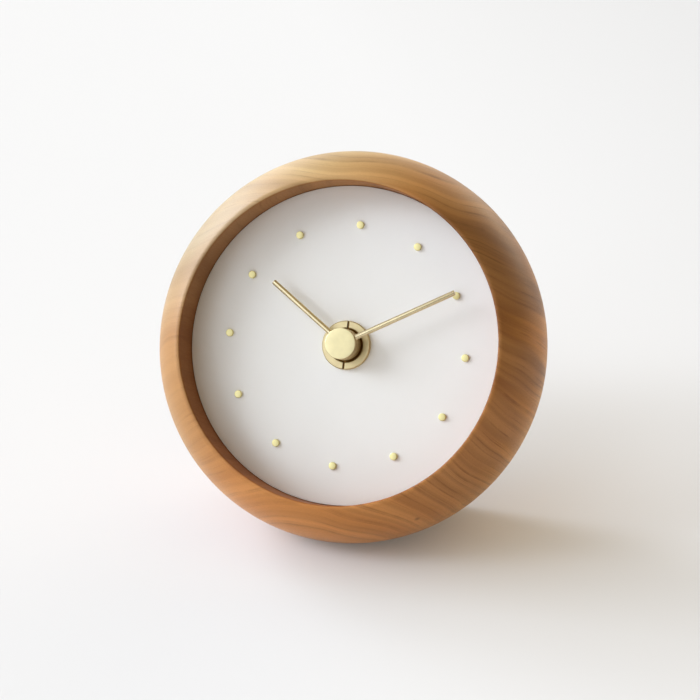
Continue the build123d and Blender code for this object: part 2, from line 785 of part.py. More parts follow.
leaning_pieces = {
    "dial_plate": make_dial_plate(),
    "hour_markers": make_hour_markers(),
    "threaded_bush": make_threaded_bush(),
    "fixing_nut": make_fixing_nut(),
    "rubber_washer": make_rubber_washer(),
    "hour_hand_rod": make_hour_hand_rod(),
    "hour_hand_hub": make_hour_hand_hub(),
    "minute_hand_rod": make_minute_hand_rod(),
    "minute_hand_hub": make_minute_hand_hub(),
    "hour_wheel": make_hour_wheel(),
    "minute_arbor": make_minute_arbor(),
    "minute_wheel": make_minute_wheel(),
    "centre_wheel": make_centre_wheel(),
    "clutch_washer": make_clutch_washer(),
    "third_wheel": make_third_wheel(),
    "seconds_wheel": make_seconds_wheel(),
    "fifth_wheel": make_fifth_wheel(),
    "rotor_pinion": make_rotor_pinion(),
    "rotor_magnet": make_rotor_magnet(),
    "stator": make_stator(),
    "coil_core": make_coil_core(),
    "coil_bobbin": make_coil_bobbin(),
    "coil_winding": make_coil_winding(),
    "train_plate": make_train_plate(),
    "movement_front_case": make_movement_front_case(),
    "movement_rear_case": make_movement_rear_case(),
    "battery_cell": make_battery_cell(),
    "positive_contact": make_contact(1),
    "negative_contact": make_contact(-1),
    "circuit_board": make_circuit_board(),
    "ic_chip": make_ic_chip(),
    "quartz_crystal": make_quartz_crystal(),
    "setting_shaft": make_setting_shaft(),
    "setting_knob": make_setting_knob(),
}

os.makedirs("parts", exist_ok=True)
export_step(make_case_body(), "parts/case_body.step")
for name, piece in leaning_pieces.items():
    export_step(lean_back * piece, f"parts/{name}.step")
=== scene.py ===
import json
import math

import bmesh
import bpy
import numpy as np
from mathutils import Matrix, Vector


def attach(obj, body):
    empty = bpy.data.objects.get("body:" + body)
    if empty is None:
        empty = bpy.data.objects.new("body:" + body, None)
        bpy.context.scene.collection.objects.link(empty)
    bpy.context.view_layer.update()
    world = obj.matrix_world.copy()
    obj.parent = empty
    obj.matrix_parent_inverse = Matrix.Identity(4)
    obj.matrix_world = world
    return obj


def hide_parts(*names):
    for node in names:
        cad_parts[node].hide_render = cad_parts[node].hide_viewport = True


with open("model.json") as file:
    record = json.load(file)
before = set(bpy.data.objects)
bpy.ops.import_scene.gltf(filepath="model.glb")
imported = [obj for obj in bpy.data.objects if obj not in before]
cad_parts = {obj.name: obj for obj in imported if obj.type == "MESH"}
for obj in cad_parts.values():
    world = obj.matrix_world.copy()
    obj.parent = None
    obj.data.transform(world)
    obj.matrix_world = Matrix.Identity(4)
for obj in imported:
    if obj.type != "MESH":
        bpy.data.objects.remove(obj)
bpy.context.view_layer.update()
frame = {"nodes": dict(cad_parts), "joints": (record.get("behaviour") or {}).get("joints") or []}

# The case: one piece of pale fruitwood, turned on a lathe with its grain along the clock's axis. The
# front is recessed for the dial and the back is bored for the movement. A flat is planed below, on
# which the clock stands leaning back.
CASE_RADIUS, BULGE_RADIUS, WIDEST_BEHIND_DIAL = 55.0, 26.0, 7.05
RIM_ABOVE_DIAL, RIM_WIDTH, RIM_INSIDE, RIM_OUTSIDE = 12.92, 0.91, 0.42, 1.6
BACK_BEHIND_DIAL, BACK_RADIUS, BACK_BORE, BACK_ROUNDING = 39.0, 45.95, 37.71, 1.0
DIAL_THICKNESS, MINUTE_ROD_LEVEL = 3.0, 7.1
CREASE = 35.0
ring = CASE_RADIUS - BULGE_RADIUS
rim_rise = RIM_ABOVE_DIAL + WIDEST_BEHIND_DIAL
recess_radius = ring + math.sqrt(BULGE_RADIUS**2 - rim_rise**2) - RIM_WIDTH

# Every piece is drawn in the dial's frame in millimetres, from the dial's middle: x to the right, v up
# the dial and w out of it. The minute hand turns about w.
minute_joint = next(joint for joint in frame["joints"] if joint["name"] == "minute_hand_turn")
out_of_dial = -np.array(minute_joint["axis"])
up_dial = np.array([0.0, out_of_dial[2], -out_of_dial[1]])
dial_middle = 1000 * np.array(minute_joint["pos_m"]) - MINUTE_ROD_LEVEL * out_of_dial
dial_lean = math.atan2(out_of_dial[2], -out_of_dial[1])


def from_dial(points):
    """Millimetres in the dial's frame to metres in the clock's: middle + x across + v up dial + w out."""
    x, v, w = np.split(np.asarray(points, float), 3, axis=-1)
    across = np.array([1.0, 0.0, 0.0])
    return (dial_middle + x * across + v * up_dial + w * out_of_dial) / 1000


def bend(middle, radius, start, end, steps):
    """Arc of a profile: middle plus radius times (cosine, sine) of angles from start to end, in degrees."""
    angle = np.radians(np.linspace(start, end, steps))
    return np.stack([middle[0] + radius * np.cos(angle), middle[1] + radius * np.sin(angle)], axis=1)


def case_profile():
    """Rows of (radius, height): recess wall, rounded rim crest, an arc about the ring for the bulge, its
    tangent to the back, rounded back edge, and bore up to the ledge under the dial."""
    inwards, backwards = ring - BACK_RADIUS, BACK_BEHIND_DIAL - WIDEST_BEHIND_DIAL
    taper = math.atan2(inwards, backwards) + math.asin(BULGE_RADIUS / math.hypot(inwards, backwards))
    inside, outside = RIM_ABOVE_DIAL - RIM_INSIDE, RIM_ABOVE_DIAL - RIM_OUTSIDE
    corner_out = math.sqrt((BULGE_RADIUS - RIM_OUTSIDE) ** 2 - (outside + WIDEST_BEHIND_DIAL) ** 2)
    slope = math.degrees(math.atan2(outside + WIDEST_BEHIND_DIAL, corner_out))
    back = -BACK_BEHIND_DIAL + BACK_ROUNDING
    back_out = BACK_RADIUS - BACK_ROUNDING * (1 - math.sin(taper)) / math.cos(taper)
    wall = np.linspace(-DIAL_THICKNESS, inside, 12)[:-1]
    bore = np.linspace(back, -DIAL_THICKNESS, 14)[1:]
    return np.concatenate([
        np.stack([np.full(wall.size, recess_radius), wall], axis=1),
        bend((recess_radius + RIM_INSIDE, inside), RIM_INSIDE, 180, 90, steps=7),
        bend((ring + corner_out, outside), RIM_OUTSIDE, 90, slope, steps=8),
        bend((ring, -WIDEST_BEHIND_DIAL), BULGE_RADIUS, slope, -math.degrees(taper), steps=48)[1:],
        bend((back_out, back), BACK_ROUNDING, -math.degrees(taper), -90, steps=8),
        bend((BACK_BORE + BACK_ROUNDING, back), BACK_ROUNDING, -90, -180, steps=8),
        np.stack([np.full(bore.size, BACK_BORE), bore], axis=1),
    ])


def turned(profile, steps, closed=False):
    """Surface of revolution: each (radius, height) row of the profile gives the points (radius cosine,
    radius sine, height) once round the axis, or a single point where radius is 0, and faces join each
    row to the next, and the last to the first if the profile is closed."""
    profile = np.asarray(profile, float)
    angle = np.linspace(0, 2 * np.pi, steps, endpoint=False)
    grid = np.stack([
        np.outer(profile[:, 0], np.cos(angle)),
        np.outer(profile[:, 0], np.sin(angle)),
        np.repeat(profile[:, 1:], steps, axis=1),
    ], axis=2)
    pole = profile[:, 0] < 1e-9
    width = np.where(pole, 1, steps)
    first = np.concatenate([[0], np.cumsum(width)[:-1]])
    index = first[:, None] + np.where(pole[:, None], 0, np.arange(steps))
    points = np.concatenate([row[:n] for row, n in zip(grid, width)])
    below, above = index, np.roll(index, -1, axis=0)
    if not closed:
        below, above = index[:-1], index[1:]
    loop = np.stack([below, np.roll(below, -1, axis=1), np.roll(above, -1, axis=1), above], axis=2)
    faces = [list(dict.fromkeys(face)) for face in loop.reshape(-1, 4).tolist()]
    return points, faces


def piece(name, points, faces, crease=CREASE):
    """New mesh at the origin, its place in its points, smooth apart from edges sharper than crease."""
    mesh = bpy.data.meshes.new(name)
    mesh.from_pydata(np.asarray(points).tolist(), [], faces)
    shape = bmesh.new()
    shape.from_mesh(mesh)
    bmesh.ops.recalc_face_normals(shape, faces=shape.faces)
    shape.to_mesh(mesh)
    shape.free()
    mesh.polygons.foreach_set("use_smooth", np.ones(len(mesh.polygons), bool))
    mesh.set_sharp_from_angle(angle=math.radians(crease))
    obj = bpy.data.objects.new(name, mesh)
    bpy.context.scene.collection.objects.link(obj)
    return obj


def planed_flat(obj):
    """Cut away what lies under the table's level and close the cut."""
    shape = bmesh.new()
    shape.from_mesh(obj.data)
    every = shape.verts[:] + shape.edges[:] + shape.faces[:]
    cut = bmesh.ops.bisect_plane(
        shape, geom=every, plane_co=(0, 0, 0), plane_no=(0, 0, 1), clear_inner=True
    )
    edges = [edge for edge in cut["geom_cut"] if isinstance(edge, bmesh.types.BMEdge)]
    bmesh.ops.edgeloop_fill(shape, edges=edges)
    bmesh.ops.recalc_face_normals(shape, faces=shape.faces)
    shape.to_mesh(obj.data)
    shape.free()
    obj.data.set_sharp_from_angle(angle=math.radians(CREASE))


def stands_for(obj, body, slot, *nodes):
    """Ride a new piece on its body and let it stand for the nodes it shows, which are hidden. The slot is
    not used.
    """
    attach(obj, body)
    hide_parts(*nodes)


class Nodes:
    """A node tree under making, with short ways to add and join nodes."""

    def __init__(self, tree):
        self.tree = tree

    def join(self, value, socket):
        """Link an output to a socket, or set the socket's own value, a colour with full opacity."""
        if isinstance(value, bpy.types.NodeSocket):
            self.tree.links.new(value, socket)
        else:
            socket.default_value = (*value, 1.0) if socket.type == "RGBA" else value

    def add(self, kind, *values, settings=(), **named):
        """New node with settings. Values go to its first sockets in order, and the others by name."""
        node = self.tree.nodes.new("ShaderNode" + kind)
        for key, value in dict(settings).items():
            setattr(node, key, value)
        for socket, value in zip(node.inputs, values):
            self.join(value, socket)
        for name, value in named.items():
            self.join(value, node.inputs[name.replace("_", " ")])
        return node

    def math(self, operation, *values):
        """Arithmetic on numbers."""
        return self.add("Math", *values, settings={"operation": operation}).outputs[0]

    def vector(self, operation, *values, label=""):
        """Arithmetic on vectors, which gives a number for a length, a distance or a dot product."""
        node = self.add("VectorMath", *values, settings={"operation": operation, "label": label})
        number = operation in ("LENGTH", "DISTANCE", "DOT_PRODUCT")
        return node.outputs["Value" if number else "Vector"]

    def coordinate(self, spot, axis):
        """One coordinate of a place."""
        return self.add("SeparateXYZ", spot).outputs[axis]

    def noise(self, spot, scale, detail=2.0, roughness=0.5):
        """Soft noise from 0 to 1 at a place."""
        return self.add("TexNoise", Vector=spot, Scale=scale, Detail=detail, Roughness=roughness).outputs[0]

    def noise_along(self, measure, scale, detail, roughness=0.5):
        """Soft noise from 0 to 1 that follows one measure, such as a distance."""
        node = self.add(
            "TexNoise", settings={"noise_dimensions": "1D"},
            W=measure, Scale=scale, Detail=detail, Roughness=roughness,
        )
        return node.outputs[0]

    def span(self, value, low, high, to_low, to_high):
        """A value carried from one range to another and held at its ends."""
        return self.add("MapRange", value, low, high, to_low, to_high).outputs[0]

    def rise(self, value, low, high):
        """Share that goes from 0 at low to 1 at high."""
        return self.span(value, low, high, 0.0, 1.0)

    def fall(self, value, low, high):
        """Share that goes from 1 at low to 0 at high."""
        return self.span(value, low, high, 1.0, 0.0)

    def ramp(self, value, *stops):
        """Colour ramp with (place, colour) stops, read at a value."""
        node = self.add("ValToRGB", value)
        points = node.color_ramp.elements
        while len(points) < len(stops):
            points.new(1.0)
        for point, (spot, colour) in zip(points, stops):
            point.position = spot
            point.color = (*colour, 1.0)
        return node.outputs[0]

    def tint(self, colour, share, other, blend="MULTIPLY"):
        """A colour multiplied by or mixed with another one, at a share. A Mix node takes its two colours at
        sockets 6 and 7 and gives the result at 2."""
        node = self.add("Mix", share, settings={"data_type": "RGBA", "blend_type": blend})
        self.join(colour, node.inputs[6])
        self.join(other, node.inputs[7])
        return node.outputs[2]


class Finish(Nodes):
    """A material under making, with its shader."""

    def __init__(self, name, **sockets):
        self.material = bpy.data.materials.new(name)
        self.material.use_nodes = True
        super().__init__(self.material.node_tree)
        self.shader = self.tree.nodes["Principled BSDF"]
        self.give(**sockets)

    def give(self, **sockets):
        """Set or join the shader's sockets."""
        for name, value in sockets.items():
            self.join(value, self.shader.inputs[name.replace("_", " ")])

    def place(self):
        """Dial-frame millimetres of the shaded point."""
        spot = self.add("TexCoord").outputs["Object"]
        frame_of_dial = self.add(
            "Mapping", Vector=spot, settings={"vector_type": "TEXTURE"}, Location=dial_middle / 1000,
            Rotation=(math.pi / 2 - dial_lean, 0.0, 0.0), Scale=(0.001, 0.001, 0.001),
        )
        return frame_of_dial.outputs[0]

    def from_axis(self, spot):
        """Distance of a dial-frame place from the clock's axis."""
        return self.vector("LENGTH", self.vector("MULTIPLY", spot, (1.0, 1.0, 0.0)))

    def bump(self, height, strength, depth):
        """Relief of a depth in millimetres from a height between 0 and 1."""
        node = self.add("Bump", Strength=strength, Distance=depth / 1000, Height=height)
        self.give(Normal=node.outputs[0])


PITH, RING_DRIFT, RING_WAVE = (-6.0, -110.0, 0.0), 14.0, 0.018
EARLY_WOOD, MIDDLE_WOOD, LATE_WOOD = (0.366, 0.145, 0.040), (0.432, 0.182, 0.053), (0.476, 0.210, 0.066)
# The heart tint is heartwood and painted shade on the right; the sap tint is painted edge light.
HEART_AND_SHADE_TINT, EDGE_LIGHT_TINT = (0.56, 0.55, 0.53), (1.62, 1.70, 1.20)
CORE_TINT, BARK_TINT = (1.25, 1.15, 0.90), (1.30, 1.41, 1.28)
# The pale tint is a painted glare at the upper left; the left tint is a painted sheen down the lit left
# side.
GLARE_TINT, LEFT_SHEEN_TINT = (0.88, 1.26, 1.95), (0.91, 1.06, 1.17)
DARK_STRIPE, LIGHT_STRIPE = (0.89, 0.88, 0.865), (1.07, 1.08, 1.08)
DARK_LINE, FAINT_LINE, LIGHT_LINE = (0.58, 0.53, 0.48), (0.97, 0.97, 0.96), (1.07, 1.07, 1.07)
DARK_FIBRE, LIGHT_FIBRE = (0.86, 0.83, 0.80), (1.05, 1.05, 1.05)
PORE_BROWN, KNOT_BROWN, KNOT_PLACE = (0.20, 0.085, 0.030), (0.13, 0.055, 0.020), (26.2, -45.4, 4.1)
# The wall tint is painted shade in the recess.
RECESS_SHADE_TINT, WALL_DULL, COAT = (0.66, 0.50, 0.40), 0.4, 0.09


def turned_wood():
    """Growth rings about a pith below the clock, in broad bands, soft stripes and fine lines, with fibres
    and pores along the clock's axis, dark heartwood with painted shade on the right, painted edge light
    behind it, a painted glare and sheen on the left, painted shade in the recess and a satin oil finish."""
    wood = Finish(
        "turned_wood", Specular_IOR_Level=0.22, Sheen_Weight=0.12, Sheen_Roughness=0.35,
        Sheen_Tint=(1.0, 0.85, 0.60), Coat_Roughness=0.28,
    )
    spot = wood.place()
    across, high = wood.coordinate(spot, "X"), wood.coordinate(spot, "Y")

    # The rings are bands of the distance from the pith, which wavers, and they are calmer on the left.
    wave = wood.add("TexNoise", Vector=spot, Scale=RING_WAVE, Detail=2.0).outputs["Color"]
    drift = wood.vector("MULTIPLY", wood.vector("SUBTRACT", wave, (0.5, 0.5, 0.5)), (RING_DRIFT,) * 3)
    moved = wood.vector("ADD", spot, drift)
    from_pith = wood.vector("MULTIPLY", wood.vector("SUBTRACT", moved, PITH), (1.0, 1.0, 0.1))
    distance = wood.vector("LENGTH", from_pith)
    calm = wood.span(across, -45.0, 15.0, 0.35, 1.0)
    bands = wood.noise_along(distance, 0.11, 1.0)
    bands = wood.math("ADD", 0.5, wood.math("MULTIPLY", calm, wood.math("SUBTRACT", bands, 0.5)))
    colour = wood.ramp(bands, (0.30, EARLY_WOOD), (0.48, MIDDLE_WOOD), (0.66, LATE_WOOD))

    # On the right the wood is dark at the front, heartwood and painted shade on the side away from the
    # light, and pale behind it, painted light along the right edge. The wood is lighter close to the pith,
    # at the bottom, and far from it, at the top.
    forward = wood.math("ADD", wood.coordinate(moved, "Z"), wood.span(bands, 0.3, 0.7, -9.0, 9.0))
    forward = wood.math("ADD", forward, wood.span(high, 16.0, 30.0, 0.0, 12.0))
    heart_and_shade = wood.math("MINIMUM", wood.rise(distance, 105.0, 148.0), wood.fall(distance, 150.0, 166.0))
    heart_and_shade = wood.math("MULTIPLY", heart_and_shade, wood.rise(across, 0.0, 25.0))
    heart_and_shade = wood.math("MULTIPLY", heart_and_shade, wood.rise(forward, -8.0, 6.0))
    painted_edge_light = wood.math("MULTIPLY", wood.fall(forward, -14.0, 4.0), wood.rise(across, 25.0, 50.0))
    core, bark = wood.fall(distance, 60.0, 85.0), wood.rise(distance, 140.0, 160.0)
    for share, tint in ((heart_and_shade, HEART_AND_SHADE_TINT), (painted_edge_light, EDGE_LIGHT_TINT), (core, CORE_TINT), (bark, BARK_TINT)):
        colour = wood.tint(colour, share, tint)

    # It is paler at the upper left, a painted glare, less so on the recess wall, and less red down the lit
    # left side, a painted sheen.
    painted_glare = wood.rise(wood.vector("DOT_PRODUCT", spot, (-0.6, 0.8, 0.0)), 26.0, 46.0)
    wall = wood.fall(wood.from_axis(spot), recess_radius + 0.05, recess_radius + 0.3)
    shown_glare = wood.math("MULTIPLY", painted_glare, wood.math("MULTIPLY_ADD", wall, -0.5, 1.0))
    colour = wood.tint(colour, shown_glare, GLARE_TINT)
    colour = wood.tint(colour, wood.fall(across, -45.0, -25.0), LEFT_SHEEN_TINT)

    # Soft stripes and broken fine lines follow the rings.
    stripes = wood.noise_along(distance, 0.42, 1.0)
    colour = wood.tint(colour, calm, wood.ramp(stripes, (0.36, DARK_STRIPE), (0.64, LIGHT_STRIPE)))
    lines = wood.noise_along(distance, 0.8, 4.0, 0.7)
    line = wood.ramp(lines, (0.34, DARK_LINE), (0.46, FAINT_LINE), (0.7, LIGHT_LINE))
    broken = wood.span(wood.noise(spot, 0.12, 3.0), 0.38, 0.66, 0.15, 1.0)
    colour = wood.tint(colour, wood.math("MULTIPLY", broken, calm), line)

    # Fibres and pores run along the axis, and there is one pin knot.
    fibres = wood.noise(wood.vector("MULTIPLY", spot, (4.0, 4.0, 0.3)), 1.0, 4.0, 0.65)
    colour = wood.tint(colour, 0.6, wood.ramp(fibres, (0.3, DARK_FIBRE), (0.65, LIGHT_FIBRE)))
    pores = wood.noise(wood.vector("MULTIPLY", spot, (7.0, 7.0, 0.8)), 1.0)
    pore = wood.span(pores, 0.66, 0.76, 0.0, 0.5)
    colour = wood.tint(colour, pore, PORE_BROWN, "MIX")
    knot = wood.span(wood.vector("DISTANCE", spot, KNOT_PLACE), 0.3, 1.0, 0.6, 0.0)
    colour = wood.tint(colour, knot, KNOT_BROWN, "MIX")

    # The recess wall, where the oil wasn't rubbed off, is duller; it is also darker, painted shade in the
    # recess, less so under the painted glare.
    painted_recess_shade = wood.math("MULTIPLY", wall, wood.math("MULTIPLY_ADD", painted_glare, -0.45, 1.0))
    dull = wood.math("MULTIPLY", wall, WALL_DULL)
    wood.give(
        Base_Color=wood.tint(colour, painted_recess_shade, RECESS_SHADE_TINT),
        Coat_Weight=wood.math("MULTIPLY_ADD", wall, -COAT, COAT),
        Roughness=wood.math("ADD", dull, wood.span(fibres, 0.3, 0.7, 0.50, 0.38)),
    )
    wood.bump(wood.math("SUBTRACT", fibres, pore), 0.2, 0.05)
    return wood.material


points, faces = turned(case_profile(), steps=288, closed=True)
case = piece("turned_case", from_dial(points), faces)
planed_flat(case)
case.data.materials.append(turned_wood())
stands_for(case, "case", "turned_wood", "case_body")

# The dial: a round plate painted white, which drops into the recess and rests on the ledge behind it.
# A hole in its middle takes the movement's bush.
DIAL_GAP, DIAL_EDGE, DIAL_MARGIN, BUSH_RADIUS, BUSH_GAP = 0.15, 0.12, 2.0, 4.0, 0.1
WHITE_SHADE, WHITE_LIGHT = (0.905, 0.888, 0.838), (0.925, 0.910, 0.862)
dial_radius, dial_hole = recess_radius - DIAL_GAP, BUSH_RADIUS + BUSH_GAP


def painted_white():
    """Matte white paint with a faint cloudiness and the fine orange-peel of a sprayed coat."""
    paint = Finish("painted_white", Specular_IOR_Level=0.3)
    spot = paint.place()
    cloud = paint.noise(spot, 0.05, 3.0)
    peel = paint.noise(spot, 2.2)
    paint.give(
        Base_Color=paint.ramp(cloud, (0.3, WHITE_SHADE), (0.7, WHITE_LIGHT)),
        Roughness=paint.span(peel, 0.3, 0.7, 0.58, 0.68),
    )
    paint.bump(peel, 0.12, 0.03)
    return paint.material


face_radii = np.linspace(dial_radius - DIAL_MARGIN, dial_hole, 24)
dial_profile = np.concatenate([
    [(dial_hole, -DIAL_THICKNESS), (dial_radius, -DIAL_THICKNESS)],
    bend((dial_radius - DIAL_EDGE, -DIAL_EDGE), DIAL_EDGE, 0, 90, steps=5),
    np.stack([face_radii, np.zeros_like(face_radii)], axis=1),
])
points, faces = turned(dial_profile, steps=240, closed=True)
dial = piece("white_dial", from_dial(points), faces)
dial.data.materials.append(painted_white())
stands_for(dial, "case", "dial_white", "dial_plate")

# The hour pins: twelve short brass pins pressed into the dial on one circle, with faced ends and
# softened edges. Their brass, like that of the nut, bush and hands, is drawn rod, faced and lacquered.
PIN_COUNT, PIN_CIRCLE, PIN_RADIUS, PIN_HEIGHT = 12, 33.74, 1.05, 0.8
PIN_SEAT, PIN_EDGE, PIN_CROWN = 2.0, 0.15, 0.04
# The side tint is painted shade on the collars' sides.
SIDE_SHADE_TINT = (0.66, 0.55, 0.47)


def satin_brass(name, colour, roughness, turning, side=None):
    """Pale lacquered brass: uneven tone, fine lines of turning at so many to the millimetre, soft gloss,
    and darker from a side's radius outwards, which is painted shade on a collar's side."""
    brass = Finish(name, Metallic=1.0)
    spot = brass.place()
    dark, light = np.multiply(colour, 0.94), np.multiply(colour, 1.04)
    tone = brass.ramp(brass.noise(spot, 0.35), (0.3, dark), (0.7, light))
    if side:
        # Painted shade on the side.
        tone = brass.tint(tone, brass.rise(brass.from_axis(spot), side - 0.06, side), SIDE_SHADE_TINT)
    scratch = brass.noise(spot, turning, 3.0, 0.6)
    brass.give(
        Base_Color=tone,
        Roughness=brass.span(scratch, 0.3, 0.7, roughness - 0.05, roughness + 0.07),
    )
    brass.bump(scratch, 0.1, 0.01)
    return brass.material


def joined(*shells):
    """Shells of points and faces as one, each shell's faces counted on from the last one's points."""
    first = np.cumsum([0] + [len(points) for points, _ in shells])
    faces = [[i + n for i in face] for n, (_, skin) in zip(first.tolist(), shells) for face in skin]
    return np.concatenate([points for points, _ in shells]), faces


pin_profile = np.concatenate([
    [(0.0, PIN_HEIGHT + PIN_CROWN), (0.5 * PIN_RADIUS, PIN_HEIGHT + 0.75 * PIN_CROWN)],
    bend((PIN_RADIUS - PIN_EDGE, PIN_HEIGHT - PIN_EDGE), PIN_EDGE, 90, 0, steps=6),
    [(PIN_RADIUS, -PIN_SEAT), (0.0, -PIN_SEAT)],
])
pin_points, pin_faces = turned(pin_profile, steps=40)
bearing = np.arange(PIN_COUNT) * 2 * np.pi / PIN_COUNT
centres = PIN_CIRCLE * np.stack([np.cos(bearing), np.sin(bearing), np.zeros(PIN_COUNT)], axis=1)
points, faces = joined(*[(centre + pin_points, pin_faces) for centre in centres])
pins = piece("hour_pins", from_dial(points), faces)
pins.data.materials.append(satin_brass("pin_brass", (0.78, 0.69, 0.33), 0.42, 6.0))
stands_for(pins, "case", "satin_brass", "hour_markers")

# The nut and bush: the movement's threaded brass bush comes through the dial, and a round nut with two
# key slots clamps it. The nut is turned, countersunk round the bush and sawn across for its key.
# A soft washer lies behind the dial.
NUT_RADIUS, NUT_HEIGHT, NUT_CHAMFER, NUT_CREASE = 6.83, 1.3, 0.25, 20.0
SINK_RADIUS, SINK_EDGE, SINK_GAP = 4.9, 0.06, 0.15
SLOT_WIDTH, SLOT_DEPTH = 0.6, 0.9
HUB_BRASS, NUT_DARK, NUT_LIGHT = (0.76, 0.66, 0.37), (0.66, 0.54, 0.30), (0.73, 0.61, 0.335)
# This brown is painted shade low in the nut's slots and countersink.
SLOT_SHADE_BROWN = (0.30, 0.17, 0.06)
slot_floor = NUT_HEIGHT - SLOT_DEPTH


def nut_brass():
    """Satin brass, darker low in the slots and in the countersink, which is painted shade there."""
    brass = Finish("nut_brass", Metallic=1.0)
    spot = brass.place()
    grain = brass.noise(spot, 9.0, 3.0, 0.6)
    clean = brass.ramp(brass.noise(spot, 0.35), (0.3, NUT_DARK), (0.7, NUT_LIGHT))
    # Painted shade in the slots and the countersink.
    low = brass.fall(brass.coordinate(spot, "Z"), NUT_HEIGHT - 0.35, NUT_HEIGHT - 0.1)
    within = brass.fall(brass.from_axis(spot), NUT_RADIUS - 0.2, NUT_RADIUS - 0.1)
    brass.give(
        Base_Color=brass.tint(clean, brass.math("MULTIPLY", low, within), SLOT_SHADE_BROWN, "MIX"),
        Roughness=brass.span(grain, 0.3, 0.7, 0.33, 0.45),
    )
    brass.bump(grain, 0.1, 0.01)
    return brass.material


def half_ring(outline, steps):
    """Half ring beside a slot: each outline row (radius, height) swept between the slot's two walls, from
    minus to plus a quarter turn less the angle whose sine is half the slot's width over the radius."""
    outline = np.asarray(outline, float)
    reach = np.pi / 2 - np.arcsin(SLOT_WIDTH / 2 / outline[:, 0])
    angle = reach[:, None] * np.linspace(-1, 1, steps)
    grid = np.stack([
        outline[:, :1] * np.cos(angle),
        outline[:, :1] * np.sin(angle),
        np.repeat(outline[:, 1:], steps, axis=1),
    ], axis=2)
    index = np.arange(outline.shape[0] * steps).reshape(-1, steps)
    above = np.roll(index, -1, axis=0)
    loop = np.stack([index[:, :-1], index[:, 1:], above[:, 1:], above[:, :-1]], axis=2)
    faces = loop.reshape(-1, 4).tolist() + [index[:, 0].tolist(), index[:, -1].tolist()]
    return grid.reshape(-1, 3), faces


def dressed(material, *nodes):
    """Give carried-over nodes a finish in place of their plain one."""
    for node in nodes:
        slots = frame["nodes"][node].data.materials
        slots.clear()
        slots.append(material)


def soft_rubber():
    """Black rubber with a dusty bloom."""
    rubber = Finish("soft_rubber", Roughness=0.85)
    dust = rubber.noise(rubber.place(), 1.5, 4.0)
    rubber.give(Base_Color=rubber.ramp(dust, (0.35, (0.020, 0.020, 0.021)), (0.75, (0.050, 0.049, 0.047))))
    rubber.bump(dust, 0.2, 0.05)
    return rubber.material


half_outline = [
    (BUSH_RADIUS + SINK_GAP, slot_floor), (SINK_RADIUS, NUT_HEIGHT - SINK_EDGE),
    (SINK_RADIUS + SINK_EDGE, NUT_HEIGHT), (NUT_RADIUS - NUT_CHAMFER, NUT_HEIGHT),
    (NUT_RADIUS, NUT_HEIGHT - NUT_CHAMFER), (NUT_RADIUS, slot_floor),
]
base_outline = [(BUSH_RADIUS, 0.0), (BUSH_RADIUS, slot_floor), (NUT_RADIUS, slot_floor), (NUT_RADIUS, 0.0)]
right_points, half_faces = half_ring(half_outline, steps=64)
left_points = right_points * (-1, 1, 1)
base = turned(base_outline, steps=128, closed=True)
points, faces = joined(base, (right_points, half_faces), (left_points, half_faces))
nut = piece("slotted_nut", from_dial(points), faces, crease=NUT_CREASE)
nut.data.materials.append(nut_brass())
stands_for(nut, "case", "satin_brass", "fixing_nut")
bush_brass = satin_brass("hub_brass", HUB_BRASS, 0.38, 9.0)
dressed(bush_brass, "threaded_bush")
dressed(soft_rubber(), "rubber_washer")

# The hands: straight brass rods driven into drilled brass collars, which are pressed on the movement's
# two shafts. The minute collar in front is a plain flat-topped cap.
COLLAR_RADIUS, COLLAR_EDGE = 4.35, 0.2
ROD_RADIUS, ROD_SEAT, ROD_EDGE = 0.75, 1.6, 0.07
HOUR_COLLAR, HOUR_ROD_LEVEL, HOUR_REACH, HOUR_ANGLE = (2.4, 5.5), 4.1, 26.7, 305.0
MINUTE_COLLAR, MINUTE_REACH, MINUTE_ANGLE = (5.7, 8.84), 34.6, 60.0


def collar_profile(low, high):
    """Rows of (radius, height): faced top, rounded edge, straight side, broken lower edge, lower face."""
    broken = COLLAR_EDGE / 2
    return np.concatenate([
        [(0.0, high), (0.55 * COLLAR_RADIUS, high)],
        bend((COLLAR_RADIUS - COLLAR_EDGE, high - COLLAR_EDGE), COLLAR_EDGE, 90, 0, steps=7),
        bend((COLLAR_RADIUS - broken, low + broken), broken, 0, -90, steps=4),
        [(0.0, low)],
    ])


def rod(level, reach, angle):
    """Rod turned about its own length, then laid along (sine, cosine) of a clock angle at a level over the
    dial, from its seat in the collar to its reach."""
    inner = COLLAR_RADIUS - ROD_SEAT
    outline = np.concatenate([
        [(0.0, inner), (ROD_RADIUS, inner), (ROD_RADIUS, 0.5 * (inner + reach))],
        bend((ROD_RADIUS - ROD_EDGE, reach - ROD_EDGE), ROD_EDGE, 0, 90, steps=4),
        [(0.0, reach)],
    ])
    shape, skin = turned(outline, steps=36)
    along = np.array([math.sin(math.radians(angle)), math.cos(math.radians(angle)), 0.0])
    beside = np.array([along[1], -along[0], 0.0])
    lift = np.array([0.0, 0.0, 1.0])
    laid = shape[:, :1] * beside + shape[:, 1:2] * lift + shape[:, 2:] * along + level * lift
    return laid, skin


collar_brass = satin_brass("collar_brass", HUB_BRASS, 0.38, 9.0, side=COLLAR_RADIUS - 0.02)
rod_brass = satin_brass("rod_brass", (0.71, 0.60, 0.365), 0.27, 12.0)
hands = (
    ("hour_hand", HOUR_COLLAR, HOUR_ROD_LEVEL, HOUR_REACH, HOUR_ANGLE),
    ("minute_hand", MINUTE_COLLAR, MINUTE_ROD_LEVEL, MINUTE_REACH, MINUTE_ANGLE),
)
for body, (low, high), level, reach, angle in hands:
    points, faces = turned(collar_profile(low, high), steps=96)
    collar = piece(f"{body}_collar", from_dial(points), faces)
    collar.data.materials.append(collar_brass)
    stands_for(collar, body, "satin_brass", f"{body}_hub")
    points, faces = rod(level, reach, angle)
    stick = piece(f"{body}_stick", from_dial(points), faces)
    stick.data.materials.append(rod_brass)
    stands_for(stick, body, "satin_brass", f"{body}_rod")

